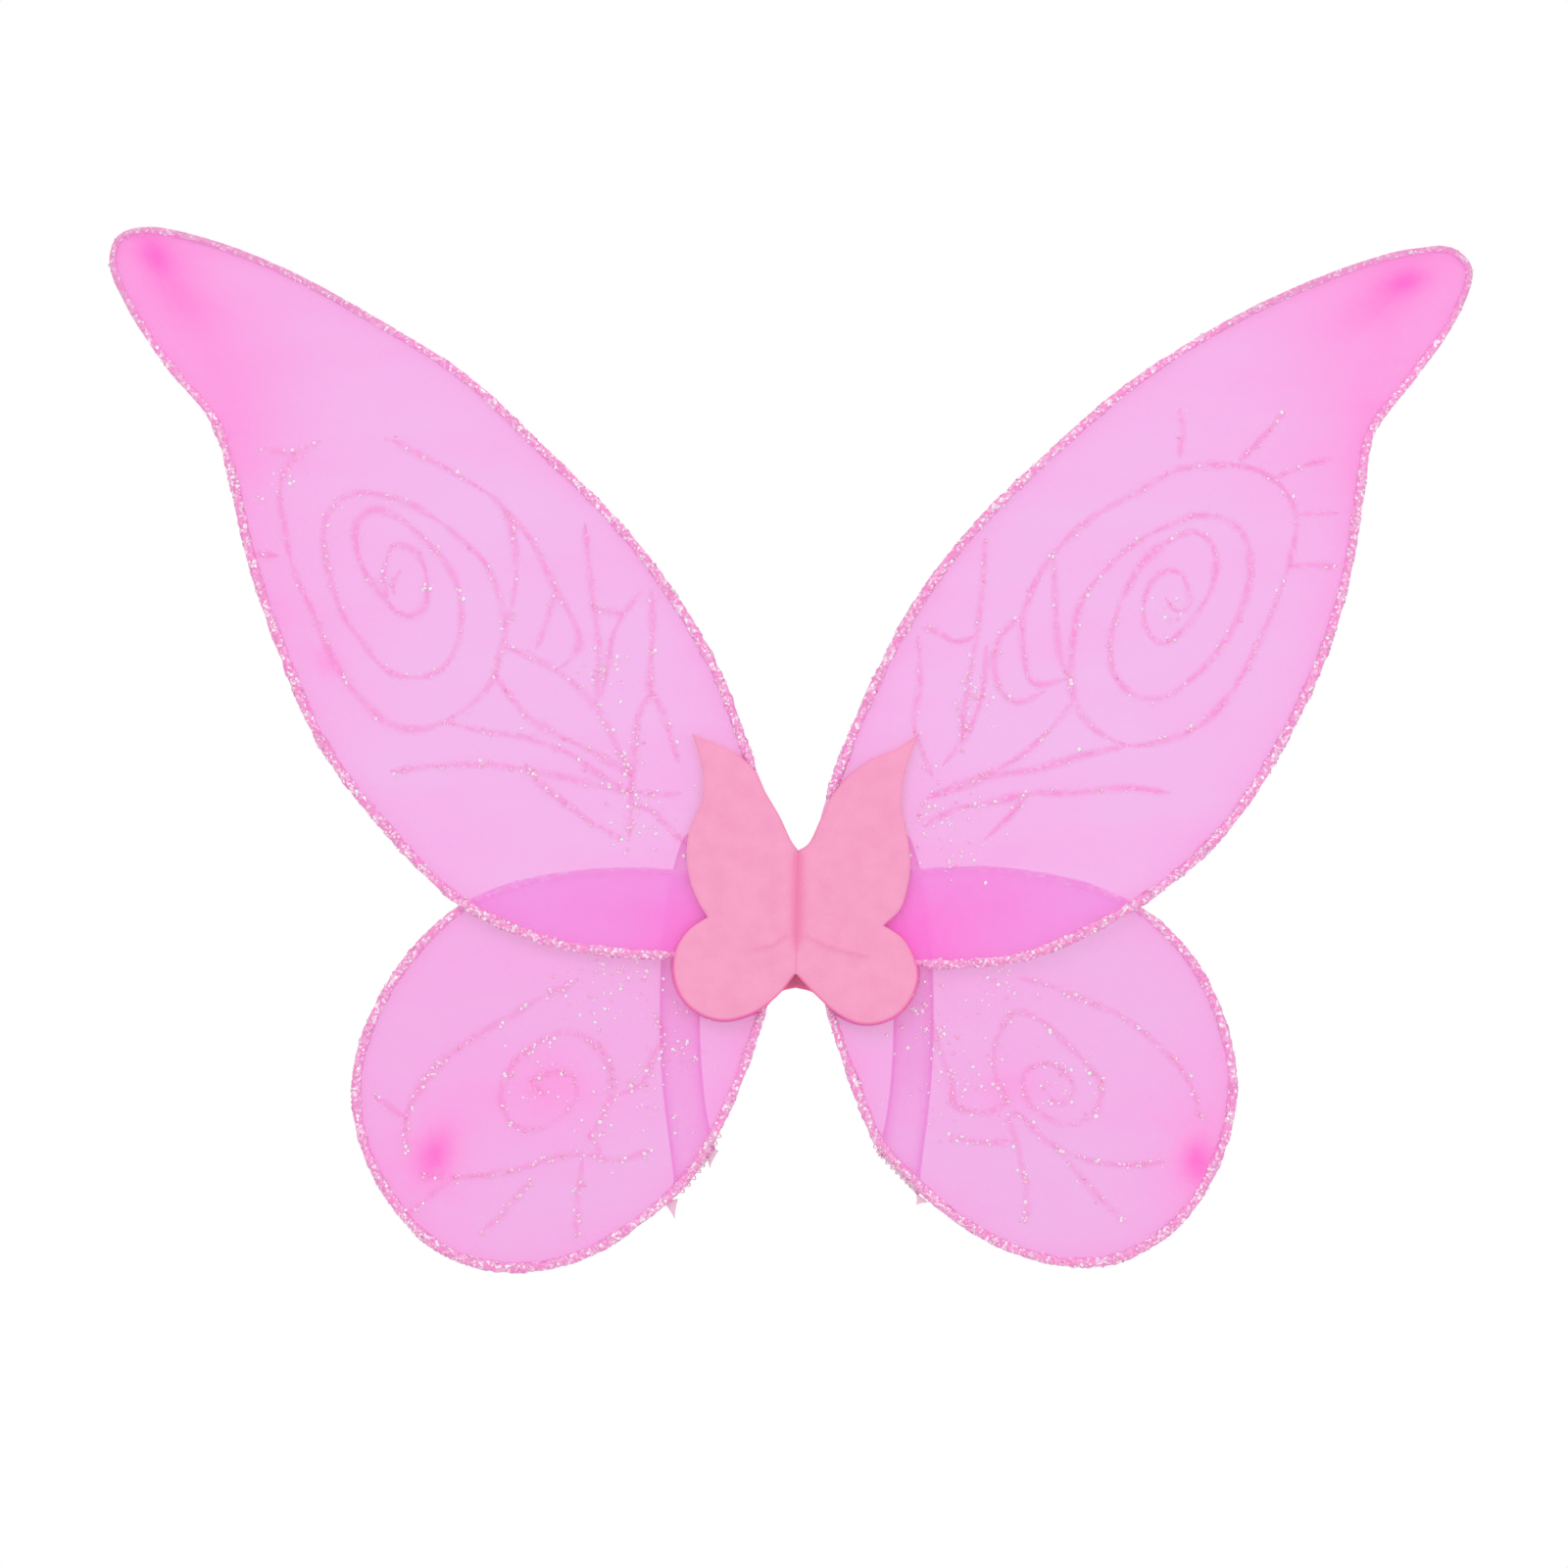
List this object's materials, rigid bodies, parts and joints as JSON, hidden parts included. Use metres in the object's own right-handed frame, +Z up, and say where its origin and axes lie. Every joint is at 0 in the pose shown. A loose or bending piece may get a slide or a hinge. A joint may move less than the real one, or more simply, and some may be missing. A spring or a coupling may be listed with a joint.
{
  "type": "fairy wings",
  "caption": "Child's butterfly-shaped costume wings: sheer nylon over wire loops, glitter rims and swirls, soft centre patch and elastic arm loops.",
  "frame": {"origin": "on the rear face of the back patch's pad, where the wings rest on the wearer's back", "axes": "+X to the right seen from the decorated side, +Y towards the wearer, +Z up"},
  "size_m": [0.4985, 0.0401, 0.3817],
  "materials": {
    "nylon": "sheer stretched stocking nylon, orchid pink",
    "glitter": "glitter glue with pink and iridescent white flakes",
    "wire": "bright drawn steel wire",
    "foam": "matt salmon-pink foam sheet",
    "elastic": "woven elastic band, off-white",
    "tape": "wrapped cloth tape",
    "thread": "polyester sewing thread"
  },
  "bodies": {
    "spine": {"front_patch": "foam", "back_patch": "foam", "root_binding": "tape"},
    "left_half": {"upper_left_wire": "wire", "upper_left_wire_sleeve": "tape", "upper_left_nylon": "nylon", "upper_left_edge_glitter": "glitter", "upper_left_swirls": "glitter", "lower_left_wire": "wire", "lower_left_wire_sleeve": "tape", "lower_left_nylon": "nylon", "lower_left_edge_glitter": "glitter", "lower_left_swirls": "glitter", "left_strap": "elastic", "left_strap_upper_tack": "thread", "left_strap_lower_tack": "thread"},
    "right_half": {"upper_right_wire": "wire", "upper_right_wire_sleeve": "tape", "upper_right_nylon": "nylon", "upper_right_edge_glitter": "glitter", "upper_right_swirls": "glitter", "lower_right_wire": "wire", "lower_right_wire_sleeve": "tape", "lower_right_nylon": "nylon", "lower_right_edge_glitter": "glitter", "lower_right_swirls": "glitter", "right_strap": "elastic", "right_strap_upper_tack": "thread", "right_strap_lower_tack": "thread"}
  },
  "joints": [
    {"name": "left_fold", "type": "hinge", "parent": "spine", "child": "left_half", "pos_m": [-0.0065, -0.00525, 0.005], "axis": [0, 0, 1], "range_deg": [-20, 80], "deforming": ["front_patch", "back_patch"]},
    {"name": "right_fold", "type": "hinge", "parent": "spine", "child": "right_half", "pos_m": [0.0065, -0.00525, 0.005], "axis": [0, 0, -1], "range_deg": [-20, 80], "deforming": ["front_patch", "back_patch"]}
  ]
}
